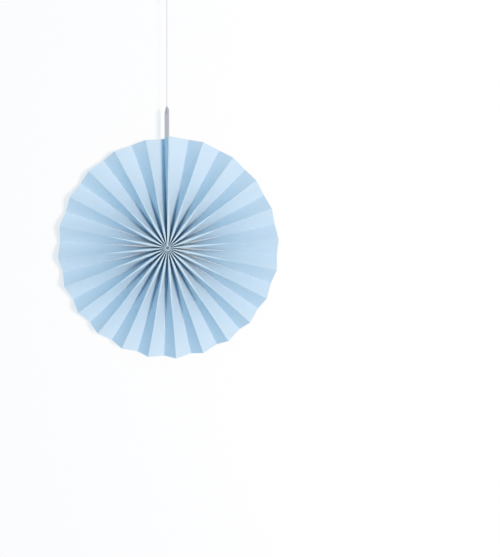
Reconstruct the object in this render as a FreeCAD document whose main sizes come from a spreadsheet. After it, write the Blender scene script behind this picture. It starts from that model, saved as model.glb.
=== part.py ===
import FreeCAD, Part
import math
import os

import Sketcher

# A hanging paper fan rosette: one long strip of paper, folded back and forth and drawn
# into a disc. Its two ends are stuck between a pair of card strips that stand as a thin
# fin at twelve o'clock and reach above the rim as a tab with a punched hole. A thread
# through the pleats holds the middle, and another thread through the hole carries it.
# Millimetres. X is to the right, Y to the back, Z up, and the origin is in the loop that
# the rosette hangs from. Angles round the disc are clockwise from the top, seen from the
# front.

doc = FreeCAD.newDocument("FanRosette")
sheet = doc.addObject("Spreadsheet::Sheet", "Sizes")

SIZES = [
    # The strip of paper
    ("rosette_radius", 150),
    ("front_folds", 23),
    # From front folds to back folds at the rim, where the pleats spread widest
    ("rim_depth", 12.8),
    ("paper_gauge", 0.16),
    # How much room each layer of paper gets round the hole in the middle
    ("hub_slack", 1.55),
    # Pleats lie wider apart near the tab and closer together at the bottom
    ("top_spread", 0.093),
    # The pleat on each side of the fin is spread this much wider, in degrees
    ("right_opening", 0.27),
    ("left_opening", 0.72),
    # Back folds lean to the right of the front ones, in degrees at the top
    ("fold_lean", 0.85),
    # The fin of card strips
    ("card_gauge", 0.6),
    # The strips stand back from the folds, so that only paper shows at the fin's front
    ("card_inset", 2.4),
    ("tape_gauge", 0.1),
    ("tape_width", 15),
    # How far the fin's front edge stands to the right of its back edge at the rim
    ("fin_lean", 7.1),
    ("fin_shift", -1.4),
    ("tab_length", 40.9),
    ("tip_radius", 9),
    ("hole_diameter", 4),
    ("hole_below_tip", 7.5),
    # The thread through the pleats
    ("ring_radius", 5),
    ("binding_gauge", 0.5),
    ("binding_clearance", 0.2),
    # The thread that it hangs from
    ("thread_gauge", 0.6),
    ("loop_clearance", 0.1),
    ("knot_radius", 0.9),
    ("tip_clearance", 0.05),
    ("thread_run", 149.1),
    ("hang_loop_radius", 4),
]

for row, (name, value) in enumerate(SIZES, start=1):
    sheet.set("A%d" % row, name)
    sheet.set("B%d" % row, str(value))
    sheet.setAlias("B%d" % row, name)
doc.recompute()


def size(name):
    return float(sheet.get(name))


# Lengths and angles that follow from the sizes, as the sheet's own expressions.
# The strip has a panel between each two folds, and one more at each end on the fin.
LAYERS = "(2 * Sizes.front_folds + 1)"
HUB = "(%s * Sizes.paper_gauge * Sizes.hub_slack / (2 * pi))" % LAYERS
RIM = "Sizes.rosette_radius"
WIDEST = "(2 * %s * sin(180 * (1 + Sizes.top_spread) / (2 * Sizes.front_folds - 1)))" % RIM
PLEAT = "sqrt(%s ^ 2 + Sizes.rim_depth ^ 2)" % WIDEST
TIP = "(Sizes.rosette_radius + Sizes.tab_length)"
HOLE = "(%s - Sizes.hole_below_tip)" % TIP
RIM_TURN = "asin(Sizes.fin_lean / %s)" % PLEAT
HUB_TURN = "asin(Sizes.fin_lean * %s / Sizes.rosette_radius / %s)" % (HUB, PLEAT)
# Radius of the channel for the thread through the pleats
CHANNEL = "(Sizes.binding_gauge / 2 + Sizes.binding_clearance)"
# Half the distance between the two strands that pass the tab
STRAND = ("(Sizes.card_gauge + Sizes.tape_gauge / 2 + Sizes.loop_clearance"
          " + Sizes.thread_gauge / 2)")
# The loop round the tip bends over it here, and its knot is at the top of the bend
UPPER_BEND = "(%s + Sizes.tip_clearance)" % TIP
KNOT = "(%s + %s)" % (UPPER_BEND, STRAND)
# A knot is flat where the thread leaves it, at this latitude in degrees
KNOT_LATITUDE = 65
KNOT_FLAT = "(Sizes.knot_radius * sin(%d))" % KNOT_LATITUDE
TOP_KNOT = "(%s + 2 * %s + Sizes.thread_run)" % (KNOT, KNOT_FLAT)
HANG_POINT = "(%s + Sizes.knot_radius + Sizes.hang_loop_radius)" % TOP_KNOT


def worked_out(expression):
    """The number that an expression of the sizes gives; angles are in degrees."""
    result = sheet.evalExpression(expression)
    return float(getattr(result, "Value", result))


def hang(part):
    """Place a part that is drawn round the hub, so that the origin is the hang point."""
    part.setExpression("Placement.Base.x", "-Sizes.fin_shift")
    part.setExpression("Placement.Base.z", "-" + HANG_POINT)


# The pleated paper


def fin_section(radius, turn):
    """The paper's two end panels where they lie on the cards, at one height.

    Each point is (x, y, z). The fin is turned by an angle about Z, so that its front
    edge stands to the right of its back edge.
    """
    gauge = size("paper_gauge")
    half = worked_out(PLEAT) / 2
    outer = size("tape_gauge") / 2 + size("card_gauge") + gauge
    middle = size("fin_shift") * radius / size("rosette_radius")
    points = {}
    for side, sign in (("right", 1), ("left", -1)):
        # The right panel folds at the front and ends free at the back, the left one
        # the other way round
        fold_end = sign * (half - gauge)
        free_end = -sign * half

        def place(across, along):
            x = middle + across * math.cos(turn) + along * math.sin(turn)
            y = across * math.sin(turn) - along * math.cos(turn)
            return FreeCAD.Vector(x, y, radius)

        inside = place(sign * outer, fold_end)
        points[side] = {
            "inside": inside,
            "ridge": inside + FreeCAD.Vector(0, -sign * gauge, 0),
            "shoulder": place(sign * (outer - gauge), fold_end),
            "free_inner": place(sign * (outer - gauge), free_end),
            "free_outer": place(sign * outer, free_end),
        }
    return points


def fin_at(share):
    """The fin's points at a share of the way from the hub to the rim, on straight lines."""
    near = fin_section(worked_out(HUB), math.radians(worked_out(HUB_TURN)))
    far = fin_section(worked_out(RIM), math.radians(worked_out(RIM_TURN)))
    return {side: {key: near[side][key] * (1 - share) + far[side][key] * share
                   for key in near[side]}
            for side in near}


def fold_line(index, panels):
    """Direction in radians, and sideways offset, of one fold between the two end folds."""
    rim = size("rosette_radius")
    half_lean = size("fin_lean") / 2
    first = math.atan2(size("fin_shift") + half_lean, rim)
    first += math.radians(size("right_opening"))
    last = 2 * math.pi + math.atan2(size("fin_shift") - half_lean, rim)
    last -= math.radians(size("left_opening"))
    share = index / panels
    even = first + share * (last - first)
    angle = even + size("top_spread") * math.sin(even)
    if index % 2:
        angle += math.radians(size("fold_lean")) * math.cos(even)
    stack = size("tape_gauge") / 2 + size("card_gauge") + size("paper_gauge")
    return angle, stack * (1 - 2 * share)


def fold_points(share):
    """The ridge of every fold at one radius: front folds have even places in the list."""
    panels = 2 * int(size("front_folds")) - 1
    radius = worked_out(HUB) * (1 - share) + worked_out(RIM) * share
    fin = fin_at(share)
    ridges = [fin["right"]["ridge"]]
    for index in range(1, panels):
        angle, offset = fold_line(index, panels)
        x = radius * math.sin(angle) + offset * math.cos(angle)
        z = radius * math.cos(angle) - offset * math.sin(angle)
        ridges.append(FreeCAD.Vector(x, 0, z))
    ridges.append(fin["left"]["ridge"])
    chords = [math.hypot(b.x - a.x, b.z - a.z) for a, b in zip(ridges, ridges[1:])]
    # A panel keeps its width, so the wider it spreads, the less deep it stands. The disc
    # is deeper at the fin, so it steps from front to back round the whole circle.
    pleat = worked_out(PLEAT)
    depths = []
    for index in range(1, panels):
        chord = (chords[index - 1] + chords[index]) / 2
        depths.append(math.sqrt(pleat ** 2 - chord ** 2) / 2)
    step = -ridges[0].y - depths[0]
    for index in range(1, panels):
        sign = 1 if index % 2 else -1
        drift = -step * (1 - 2 * index / panels)
        ridges[index].y = sign * depths[index - 1] + drift
    return ridges


def panel_section(back, front):
    """Six corners of one panel between a back ridge and a front ridge.

    The paper is as thick at a fold as between the folds, as a pressed crease is.
    """
    gauge = size("paper_gauge")
    across = FreeCAD.Vector(front.x - back.x, 0, front.z - back.z)
    chord = across.Length
    across.normalize()
    deep = FreeCAD.Vector(0, 1, 0)
    depth = back.y - front.y - 2 * gauge
    slope = math.atan2(depth, chord) + math.asin(gauge / math.hypot(chord, depth))
    offset = across * (gauge * math.sin(slope)) + deep * (gauge * math.cos(slope))
    back_inside = back - deep * gauge
    front_inside = front + deep * gauge
    return {
        "back_ridge": back,
        "back_shoulder": back_inside + offset,
        "front_inside": front_inside,
        "front_ridge": front,
        "front_shoulder": front_inside - offset,
        "back_inside": back_inside,
    }


def ruled(near_start, near_end, far_start, far_end):
    near = Part.LineSegment(near_start, near_end).toShape()
    far = Part.LineSegment(far_start, far_end).toShape()
    return Part.makeRuledSurface(near, far)


def cap(points):
    return Part.Face(Part.makePolygon(points + points[:1]))


PANEL_LOOP = ("back_ridge", "back_shoulder", "front_inside",
              "front_ridge", "front_shoulder", "back_inside")
PANEL_SIDES = (("back_ridge", "back_shoulder"), ("back_shoulder", "front_inside"),
               ("front_ridge", "front_shoulder"), ("front_shoulder", "back_inside"))
END_LOOP = ("ridge", "inside", "free_outer", "free_inner", "shoulder")
END_SIDES = (("inside", "free_outer"), ("free_outer", "free_inner"),
             ("free_inner", "shoulder"), ("shoulder", "ridge"))
# Shares of the way from hub to rim at which the folds are set out
STATIONS = (0, 0.3, 0.55, 0.8, 1)


def skin(sections, loop, sides):
    """The faces along one panel from hub to rim, and its two cut edges."""
    faces = []
    for near, far in zip(sections, sections[1:]):
        for start, end in sides:
            faces.append(ruled(near[start], near[end], far[start], far[end]))
    for section in (sections[0], sections[-1]):
        faces.extend(cut_edge(section, loop))
    return faces


def cut_edge(section, loop):
    """The paper's cut edge is a flat face, or two where its corners aren't in one plane."""
    points = [section[name] for name in loop]
    plane = Part.makePolygon(points + points[:1])
    if plane.findPlane(1e-7):
        return [cap(points)]
    corner = points[0]
    return [cap([corner, a, b]) for a, b in zip(points[1:], points[2:])]


def make_sheet():
    stations = [fold_points(share) for share in STATIONS]
    faces = []
    for index in range(len(stations[0]) - 1):
        sections = []
        for ridges in stations:
            front, back = ridges[index], ridges[index + 1]
            if index % 2:
                front, back = back, front
            sections.append(panel_section(back, front))
        faces.extend(skin(sections, PANEL_LOOP, PANEL_SIDES))
    for side in ("right", "left"):
        sections = [fin_at(share)[side] for share in STATIONS]
        faces.extend(skin(sections, END_LOOP, END_SIDES))
    shell = Part.Shell(faces)
    shell.sewShape()
    solid = Part.Solid(shell)
    if solid.Volume < 0:
        solid.reverse()
    return solid


def make_paper():
    paper = doc.addObject("Part::Feature", "PleatedPaper")
    channel = Part.makeTorus(size("ring_radius"), worked_out(CHANNEL),
                             FreeCAD.Vector(0, 0, 0), FreeCAD.Vector(0, 1, 0))
    paper.Shape = make_sheet().cut(channel)
    hang(paper)
    paper.Label = "pleated_paper"
    return paper


# The card strips and the tape between them


def origin_plane(body, role):
    return next(item for item in body.Origin.OriginFeatures if item.Role == role)


def add_sketch(body, name, role):
    sketch = body.newObject("Sketcher::SketchObject", name)
    sketch.AttachmentSupport = (origin_plane(body, role), [""])
    sketch.MapMode = "FlatFace"
    return sketch


def add_rectangle(sketch, left, right, depth):
    """A rectangle between two expressions across, and centred with a depth along Y."""
    front, back = "-(%s) / 2" % depth, "(%s) / 2" % depth
    # Drawn where it belongs from the start, so that the solver has nothing to turn over
    corners = [FreeCAD.Vector(worked_out(across), worked_out(along), 0)
               for across, along in ((left, front), (right, front),
                                     (right, back), (left, back))]
    lines = []
    for start, end in zip(corners, corners[1:] + corners[:1]):
        lines.append(sketch.addGeometry(Part.LineSegment(start, end)))
    for line, following in zip(lines, lines[1:] + lines[:1]):
        sketch.addConstraint(Sketcher.Constraint("Coincident", line, 2, following, 1))
    bottom, right_side, top, left_side = lines
    sketch.addConstraint(Sketcher.Constraint("Horizontal", bottom))
    sketch.addConstraint(Sketcher.Constraint("Horizontal", top))
    sketch.addConstraint(Sketcher.Constraint("Vertical", right_side))
    sketch.addConstraint(Sketcher.Constraint("Vertical", left_side))
    places = ((left_side, "DistanceX", left), (right_side, "DistanceX", right),
              (bottom, "DistanceY", front), (top, "DistanceY", back))
    for line, kind, expression in places:
        number = sketch.addConstraint(
            Sketcher.Constraint(kind, -1, 1, line, 1, worked_out(expression)))
        sketch.setExpression("Constraints[%d]" % number, expression)


def add_fin_section(body, name, height, turn, left, right, depth):
    sketch = add_sketch(body, name, "XY_Plane")
    add_rectangle(sketch, left, right, depth)
    sketch.AttachmentOffset = FreeCAD.Placement(
        FreeCAD.Vector(0, 0, 1), FreeCAD.Rotation(FreeCAD.Vector(0, 0, 1), 1))
    shift = "Sizes.fin_shift * %s / Sizes.rosette_radius" % height
    sketch.setExpression("AttachmentOffset.Base.x", shift)
    sketch.setExpression("AttachmentOffset.Base.z", height)
    sketch.setExpression("AttachmentOffset.Rotation.Angle", turn)
    return sketch


def add_twisted_strip(label, left, right, depth):
    """A flat strip on edge that turns a little between the hub and the rim."""
    body = doc.addObject("PartDesign::Body", label)
    body.Label = label
    hub = add_fin_section(body, "HubSection", HUB, HUB_TURN, left, right, depth)
    rim = add_fin_section(body, "RimSection", RIM, RIM_TURN, left, right, depth)
    strip = body.newObject("PartDesign::AdditiveLoft", "Strip")
    strip.Profile = hub
    strip.Sections = [rim]
    strip.Ruled = True
    doc.recompute()
    return body


def add_channel(body):
    """The way of the thread that goes round through all the pleats and the fin."""
    ring = body.newObject("PartDesign::SubtractiveTorus", "BindingChannel")
    ring.Placement.Rotation = FreeCAD.Rotation(FreeCAD.Vector(1, 0, 0), 90)
    ring.setExpression("Radius1", "Sizes.ring_radius")
    ring.setExpression("Radius2", CHANNEL)
    cut_by(body, ring)


def add_hole(body, name, height, diameter):
    """A round hole through a strip, seen from the side."""
    sketch = add_sketch(body, name + "Sketch", "YZ_Plane")
    up_there = worked_out(height)
    across = worked_out(diameter)
    circle = sketch.addGeometry(Part.Circle(
        FreeCAD.Vector(0, up_there, 0), FreeCAD.Vector(0, 0, 1), across / 2))
    sketch.addConstraint(Sketcher.Constraint("PointOnObject", circle, 3, -2))
    up = sketch.addConstraint(Sketcher.Constraint("DistanceY", -1, 1, circle, 3, up_there))
    wide = sketch.addConstraint(Sketcher.Constraint("Diameter", circle, across))
    sketch.setExpression("Constraints[%d]" % up, height)
    sketch.setExpression("Constraints[%d]" % wide, diameter)
    hole = body.newObject("PartDesign::Pocket", name)
    hole.Profile = sketch
    hole.Type = "ThroughAll"
    hole.Midplane = True
    cut_by(body, hole)


def cut_by(body, feature):
    before = body.Shape.Volume
    doc.recompute()
    assert body.Shape.Volume < before, feature.Name + " cuts nothing"


def round_tab(body):
    """Round the two top corners of the tab."""
    base = body.Tip
    top = max(vertex.Z for vertex in base.Shape.Vertexes)
    names = []
    for number, edge in enumerate(base.Shape.Edges, start=1):
        ends = [vertex.Point for vertex in edge.Vertexes]
        at_top = all(abs(point.z - top) < 1e-6 for point in ends)
        if at_top and edge.Length < 2 * size("card_gauge"):
            names.append("Edge%d" % number)
    fillet = body.newObject("PartDesign::Fillet", "TabCorners")
    fillet.Base = (base, names)
    fillet.setExpression("Radius", "Sizes.tip_radius")
    doc.recompute()


def make_card(label, left, right):
    depth = "(%s - 2 * Sizes.card_inset)" % PLEAT
    body = add_twisted_strip(label, left, right, depth)
    sketch = add_fin_section(body, "TabSection", RIM, RIM_TURN, left, right, depth)
    tab = body.newObject("PartDesign::Pad", "Tab")
    tab.Profile = sketch
    tab.setExpression("Length", "Sizes.tab_length")
    doc.recompute()
    round_tab(body)
    add_channel(body)
    add_hole(body, "ThreadHole", HOLE, "Sizes.hole_diameter")
    hang(body)
    return body


def make_cards():
    near = "Sizes.tape_gauge / 2"
    far = "(Sizes.tape_gauge / 2 + Sizes.card_gauge)"
    return [make_card("right_card_strip", near, far),
            make_card("left_card_strip", "-" + far, "-" + near)]


def make_tape():
    half = "Sizes.tape_gauge / 2"
    body = add_twisted_strip("adhesive_tape", "-" + half, half, "Sizes.tape_width")
    add_channel(body)
    hang(body)
    return body


# The threads


def make_binding():
    ring = doc.addObject("Part::Torus", "BindingThread")
    ring.Label = "binding_thread"
    ring.Placement.Rotation = FreeCAD.Rotation(FreeCAD.Vector(1, 0, 0), 90)
    ring.setExpression("Radius1", "Sizes.ring_radius")
    ring.setExpression("Radius2", "Sizes.binding_gauge / 2")
    hang(ring)
    return ring


def add_primitive(kind, name, expressions, rotation=None):
    item = doc.addObject(kind, name)
    if rotation:
        item.Placement.Rotation = rotation
    for target, expression in expressions.items():
        item.setExpression(target, expression)
    return item


def add_fuse(label, items):
    fuse = doc.addObject("Part::MultiFuse", label)
    fuse.Label = label
    fuse.Shapes = items
    fuse.Refine = True
    return fuse


def make_tab_loop():
    """The thread's lower end: a long ring through the hole and over the tab's tip."""
    # The ring pulls up against the top of the hole
    lower_bend = "(%s + Sizes.hole_diameter / 2 + Sizes.thread_gauge / 2)" % HOLE
    parts = []
    for name, sign in (("LeftStrand", "-"), ("RightStrand", "")):
        parts.append(add_primitive("Part::Cylinder", name, {
            "Radius": "Sizes.thread_gauge / 2",
            "Height": "%s - %s" % (UPPER_BEND, lower_bend),
            "Placement.Base.x": sign + STRAND,
            "Placement.Base.z": lower_bend,
        }))
    for name, height, tilt in (("LowerBend", lower_bend, -90), ("UpperBend", UPPER_BEND, 90)):
        parts.append(add_primitive("Part::Torus", name, {
            "Radius1": STRAND,
            "Radius2": "Sizes.thread_gauge / 2",
            "Placement.Base.z": height,
        }, FreeCAD.Rotation(FreeCAD.Vector(1, 0, 0), tilt)))
        parts[-1].Angle3 = 180
    parts.append(add_primitive("Part::Sphere", "TabKnot", {
        "Radius": "Sizes.knot_radius",
        "Placement.Base.z": KNOT,
    }))
    parts[-1].Angle2 = KNOT_LATITUDE
    loop = add_fuse("tab_loop", parts)
    loop.Placement.Rotation = FreeCAD.Rotation(FreeCAD.Vector(0, 0, 1), 1)
    loop.setExpression("Placement.Rotation.Angle", RIM_TURN)
    loop.setExpression("Placement.Base.z", "-" + HANG_POINT)
    return loop


def make_thread():
    thread = add_primitive("Part::Cylinder", "HangingThread", {
        "Radius": "Sizes.thread_gauge / 2",
        "Height": "Sizes.thread_run",
        "Placement.Base.z": "%s + %s - %s" % (KNOT, KNOT_FLAT, HANG_POINT),
    })
    thread.Label = "hanging_thread"
    return thread


def make_hang_loop():
    knot = add_primitive("Part::Sphere", "TopKnot", {
        "Radius": "Sizes.knot_radius",
        "Placement.Base.z": "-(Sizes.knot_radius + Sizes.hang_loop_radius)",
    })
    knot.Angle1 = -KNOT_LATITUDE
    loop = add_primitive("Part::Torus", "TopLoop", {
        "Radius1": "Sizes.hang_loop_radius",
        "Radius2": "Sizes.thread_gauge / 2",
    }, FreeCAD.Rotation(FreeCAD.Vector(1, 0, 0), 90))
    return add_fuse("hang_loop", [knot, loop])


def check(part):
    for item in doc.Objects:
        states = [state for state in item.State if state in ("Invalid", "Error")]
        assert not states, "%s is %s" % (item.Name, states)
    assert not part.Shape.isNull(), part.Label + " has no shape"
    assert part.Shape.isValid(), part.Label + " isn't valid"


PARTS = [make_paper()] + make_cards()
PARTS += [make_tape(), make_binding(), make_tab_loop(), make_thread(), make_hang_loop()]
doc.recompute()
for part in PARTS:
    check(part)

os.makedirs("parts", exist_ok=True)
for part in PARTS:
    part.Shape.exportStep("parts/%s.step" % part.Label)
    box = part.Shape.BoundBox
    print("%-18s %9.1f mm3  %d solid  z %.1f to %.1f" % (
        part.Label, part.Shape.Volume, len(part.Shape.Solids), box.ZMin, box.ZMax))
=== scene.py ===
import math

import bpy
import bmesh
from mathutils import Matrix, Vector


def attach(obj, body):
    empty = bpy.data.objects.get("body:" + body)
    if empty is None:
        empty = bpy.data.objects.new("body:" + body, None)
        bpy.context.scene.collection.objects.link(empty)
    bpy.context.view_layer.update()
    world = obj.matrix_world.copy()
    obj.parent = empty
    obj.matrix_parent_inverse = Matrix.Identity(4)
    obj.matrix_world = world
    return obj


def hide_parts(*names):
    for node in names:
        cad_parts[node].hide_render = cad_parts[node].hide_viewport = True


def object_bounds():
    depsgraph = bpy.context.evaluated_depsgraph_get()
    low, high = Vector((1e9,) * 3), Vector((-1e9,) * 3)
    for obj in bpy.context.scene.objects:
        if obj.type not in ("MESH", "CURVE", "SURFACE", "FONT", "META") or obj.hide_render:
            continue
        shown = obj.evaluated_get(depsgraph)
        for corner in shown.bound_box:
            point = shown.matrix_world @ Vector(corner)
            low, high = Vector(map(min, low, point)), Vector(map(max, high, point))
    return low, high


# A hanging paper fan rosette: a strip of pale blue paper, pleated into a disc, whose ends
# are stuck to a pair of card strips. The strips stand as a fin at twelve o'clock and reach
# above the rim as a tab, and a thread carries the tab.
# Metres, in the row's frame: X to the right, Y to the back, Z up, origin in the loop that
# the rosette hangs from.

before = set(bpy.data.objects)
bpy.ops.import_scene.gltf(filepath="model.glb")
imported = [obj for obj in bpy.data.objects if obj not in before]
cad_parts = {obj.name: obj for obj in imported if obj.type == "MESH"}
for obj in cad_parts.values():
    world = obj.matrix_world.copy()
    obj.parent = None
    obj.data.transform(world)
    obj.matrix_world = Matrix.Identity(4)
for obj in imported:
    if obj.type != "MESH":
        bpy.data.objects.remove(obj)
cad_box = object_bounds()

MM = 0.001

# The sizes that the pleated strip follows from, in millimetres and degrees, apart from
# the count of folds and the two factors, HUB_SLACK and TOP_SPREAD
RADIUS = 150
FRONT_FOLDS = 23
RIM_DEPTH = 12.8
GAUGE = 0.16
HUB_SLACK = 1.55
TOP_SPREAD = 0.093
RIGHT_OPENING = 0.27
LEFT_OPENING = 0.72
FOLD_LEAN = 0.85
CARD = 0.6
TAPE = 0.1
FIN_LEAN = 7.1
FIN_SHIFT = -1.4
# Where the middle of the disc is
HUB_X = 1.4
HUB_Z = -347.631
# The thread, from knot to knot
THREAD = 0.6
TAB_KNOT_TOP = -154.816
TOP_KNOT_FOOT = -5.716

# Where the wall is, just behind the disc
WALL_Y = 26

# How folded paper differs from sharp, even pleats: folds stray by up to UNEVENNESS degrees,
# panels bow by up to BOW in waves about WAVE_SIZE long, and a fold that springs open is
# widest up to SPRING_DEPTH behind its crease, by up to SPRING to each side
UNEVENNESS = 0.15
BOW = 0.25
WAVE_SIZE = 38
SPRING = 2.2
SPRING_DEPTH = 2.2
# How far the strip's last edge is turned over the front of the fin, as a share of its way
# to the fold on the other side
TURNED_OVER = 0.9

# The sheet's grid: steps across each panel, rows from hub to rim, and the powers that crowd
# the steps towards the folds and the rows towards the hub
STEPS_ACROSS = 14
ROWS = 40
STEP_CROWDING = 2.6
ROW_CROWDING = 1.3

# What follows from the sizes
SPACES = 2 * FRONT_FOLDS - 1
HUB = (SPACES + 2) * GAUGE * HUB_SLACK / (2 * math.pi)
WIDEST = 2 * RADIUS * math.sin(math.pi * (1 + TOP_SPREAD) / SPACES)
PLEAT = math.hypot(WIDEST, RIM_DEPTH)
STACK = TAPE / 2 + CARD + GAUGE


# The camera looks straight at the wall. The axis of the lens meets the picture to the left
# of and above its middle, as in a crop. The camera's place is given from the hub.

CAMERA_X = 20.4
CAMERA_Z = 33.8
DISTANCE = 750
FOCAL_PX = 548.9
AXIS_PX = (182.8, 222.7)
FRAME_PX = (500, 557)


def make_camera():
    data = bpy.data.cameras.new("camera")
    camera = bpy.data.objects.new("camera", data)
    bpy.context.collection.objects.link(camera)
    camera.location = ((HUB_X + CAMERA_X) * MM, -DISTANCE * MM, (HUB_Z + CAMERA_Z) * MM)
    camera.rotation_euler = (math.radians(90), 0, 0)
    longest = max(FRAME_PX)
    data.lens = data.sensor_width * FOCAL_PX / longest
    data.shift_x = (FRAME_PX[0] / 2 - AXIS_PX[0]) / longest
    data.shift_y = (AXIS_PX[1] - FRAME_PX[1] / 2) / longest
    data.clip_start = 0.01
    bpy.context.scene.camera = camera


make_camera()


# Materials


def linear(code):
    """An sRGB hex colour as linear RGBA."""
    values = [int(code[i:i + 2], 16) / 255 for i in (1, 3, 5)]
    return tuple(v / 12.92 if v <= 0.04045 else ((v + 0.055) / 1.055) ** 2.4
                 for v in values) + (1,)


def add(tree, kind, settings=None, **links):
    """Add a node: its own settings, then values or sockets for its inputs.

    An input is named by its name or, where names repeat, by its place, as _0.
    """
    node = tree.nodes.new(kind)
    for name, value in (settings or {}).items():
        setattr(node, name, value)
    for name, value in links.items():
        key = int(name[1:]) if name[0] == "_" else name.replace("_", " ")
        if isinstance(value, bpy.types.NodeSocket):
            tree.links.new(value, node.inputs[key])
        else:
            node.inputs[key].default_value = value
    return node


def new_material(name):
    material = bpy.data.materials.new(name)
    material.use_nodes = True
    material.node_tree.nodes.clear()
    return material, material.node_tree


def finish_material(tree, shader):
    add(tree, "ShaderNodeOutputMaterial", Surface=shader)


# How much of the light that meets the paper goes through it
LIGHT_THROUGH = 0.13


def make_paper_material():
    """Uncoated craft paper, dyed through: matt, with a felt-side tooth and faint clouds.

    A pressed fold breaks the surface fibres, so it and the cut edges are a shade paler. The same
    paler lines also serve as a painted highlight along every crease and along the rim.
    """
    material, tree = new_material("uncoated pale blue paper")
    # The strip's own flat coordinates in metres: x along it, y from hub edge to rim
    flat = add(tree, "ShaderNodeAttribute", {"attribute_name": "flat"}).outputs["Vector"]
    place = add(tree, "ShaderNodeSeparateXYZ", Vector=flat)
    # Clouds in the pulp, about 12 mm across
    clouds = add(tree, "ShaderNodeTexNoise", Vector=flat, Scale=1 / (12 * MM), Detail=3.0)
    # Fibres, about 3 mm long and 0.5 mm wide, which is as fine as shows
    fibre_map = add(tree, "ShaderNodeMapping", Vector=flat, Scale=(1 / (3 * MM), 1 / (0.5 * MM), 1))
    fibres = add(tree, "ShaderNodeTexNoise", Vector=fibre_map.outputs[0], Scale=1.0, Detail=2.0)
    shade = add(tree, "ShaderNodeMix", {"data_type": "RGBA"}, Factor=clouds.outputs["Fac"],
                _6=linear("#D7EDF8"), _7=linear("#DCF0FA"))
    speck = add(tree, "ShaderNodeMapRange", Value=fibres.outputs["Fac"],
                From_Min=0.35, From_Max=0.75, To_Min=0.0, To_Max=0.3)
    shade = add(tree, "ShaderNodeMix", {"data_type": "RGBA"}, Factor=speck.outputs[0],
                _6=shade.outputs[2], _7=linear("#D0E9F6"))
    # How far a point is from the nearest fold
    fold = add(tree, "ShaderNodeMath", {"operation": "PINGPONG"}, _0=place.outputs["X"],
               _1=PLEAT / 2 * MM)
    # Paler near every fold and along the rim's cut edge: partly broken fibres, partly a painted
    # highlight on the creases and edges
    fold_wear_and_highlight = add(tree, "ShaderNodeMapRange", Value=fold.outputs[0], From_Min=0.15 * MM,
               From_Max=0.45 * MM, To_Min=0.25, To_Max=0.0)
    edge = add(tree, "ShaderNodeMapRange", Value=place.outputs["Y"],
               From_Min=(RADIUS - 0.3) * MM, From_Max=(RADIUS - 0.1) * MM,
               To_Min=0.0, To_Max=0.5)
    pale = add(tree, "ShaderNodeMath", {"operation": "MAXIMUM"}, _0=fold_wear_and_highlight.outputs[0],
               _1=edge.outputs[0])
    shade = add(tree, "ShaderNodeMix", {"data_type": "RGBA"}, Factor=pale.outputs[0],
                _6=shade.outputs[2], _7=linear("#DEF2FC"))
    # Tooth of the felt side, about 0.6 mm
    tooth = add(tree, "ShaderNodeTexNoise", Vector=flat, Scale=1 / (0.6 * MM), Detail=4.0)
    bump = add(tree, "ShaderNodeBump", Strength=0.35, Distance=0.03 * MM,
               Height=tooth.outputs["Fac"])
    rough = add(tree, "ShaderNodeMapRange", Value=fibres.outputs["Fac"],
                To_Min=0.82, To_Max=0.95)
    front = add(tree, "ShaderNodeBsdfPrincipled", Base_Color=shade.outputs[2],
                Roughness=rough.outputs[0], Normal=bump.outputs[0], IOR=1.45,
                Specular_IOR_Level=0.25)
    # Some light goes through thin paper, and takes on more of its colour
    through = add(tree, "ShaderNodeBsdfTranslucent", Color=linear("#8CCCFF"))
    both = add(tree, "ShaderNodeMixShader", _0=LIGHT_THROUGH, _1=front.outputs[0],
               _2=through.outputs[0])
    finish_material(tree, both.outputs[0])
    return material


def make_card_material():
    """Bleached greyboard, calendered: matt and even, with short fibres and a faint speckle."""
    material, tree = new_material("pale board")
    place = add(tree, "ShaderNodeTexCoord").outputs["Object"]
    # Clouds about 6 mm across and specks of 0.4 mm
    clouds = add(tree, "ShaderNodeTexNoise", Vector=place, Scale=1 / (6 * MM), Detail=3.0)
    specks = add(tree, "ShaderNodeTexNoise", Vector=place, Scale=1 / (0.4 * MM), Detail=1.0)
    shade = add(tree, "ShaderNodeMix", {"data_type": "RGBA"}, Factor=clouds.outputs["Fac"],
                _6=linear("#F1E0DB"), _7=linear("#F6E6E2"))
    dots = add(tree, "ShaderNodeMapRange", Value=specks.outputs["Fac"], From_Min=0.62,
               From_Max=0.75, To_Min=0.0, To_Max=0.5)
    shade = add(tree, "ShaderNodeMix", {"data_type": "RGBA"}, Factor=dots.outputs[0],
                _6=shade.outputs[2], _7=linear("#DDCFCB"))
    # The cut edges, at the front and back, show the grey inside
    facing = add(tree, "ShaderNodeSeparateXYZ", Vector=add(
        tree, "ShaderNodeNewGeometry").outputs["True Normal"])
    facing = add(tree, "ShaderNodeMath", {"operation": "ABSOLUTE"}, _0=facing.outputs["Y"])
    cut = add(tree, "ShaderNodeMapRange", Value=facing.outputs[0], From_Min=0.6, From_Max=0.8)
    shade = add(tree, "ShaderNodeMix", {"data_type": "RGBA"}, Factor=cut.outputs[0],
                _6=shade.outputs[2], _7=linear("#C4C1C2"))
    bump = add(tree, "ShaderNodeBump", Strength=0.3, Distance=0.03 * MM,
               Height=specks.outputs["Fac"])
    rough = add(tree, "ShaderNodeMapRange", Value=clouds.outputs["Fac"], To_Min=0.7,
                To_Max=0.85)
    shader = add(tree, "ShaderNodeBsdfPrincipled", Base_Color=shade.outputs[2],
                 Roughness=rough.outputs[0], Normal=bump.outputs[0],
                 Specular_IOR_Level=0.35)
    finish_material(tree, shader.outputs[0])
    return material


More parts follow.
